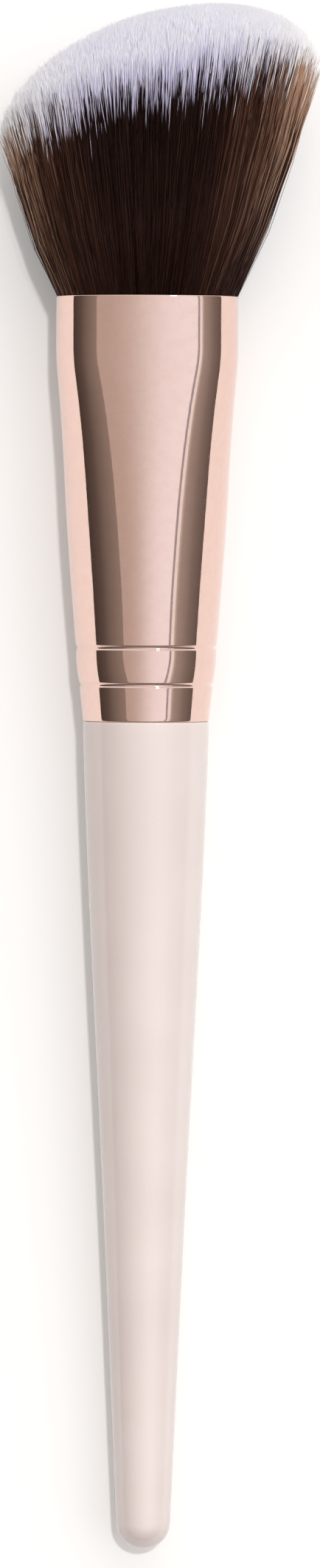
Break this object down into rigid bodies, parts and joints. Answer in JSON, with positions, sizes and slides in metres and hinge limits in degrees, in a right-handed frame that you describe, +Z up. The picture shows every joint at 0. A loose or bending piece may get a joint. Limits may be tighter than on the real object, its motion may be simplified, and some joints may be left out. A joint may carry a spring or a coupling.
{
  "type": "contour brush",
  "caption": "Make-up brush with a slanted, domed tuft of two-tone filaments, an oval crimped metal ferrule and a tapered round handle.",
  "frame": {"origin": "centre of the bounding box, at the surface that the brush lies on", "axes": "+Y from the handle's tail towards the tuft, +X towards the tuft's longer side, +Z up through the brush's thickness. The brush lies on the tuft's broad side and the ferrule's belly, with the handle's tail in the air"},
  "size_m": [0.035, 0.172, 0.0198],
  "materials": {
    "lacquered_wood": "gloss",
    "rose_gold_metal": "polished",
    "cast_resin": "satin",
    "filaments": "satin"
  },
  "bodies": {
    "root": {"handle": "lacquered_wood", "ferrule": "rose_gold_metal", "root_plug": "cast_resin", "bristle_tuft": "filaments"}
  },
  "joints": []
}
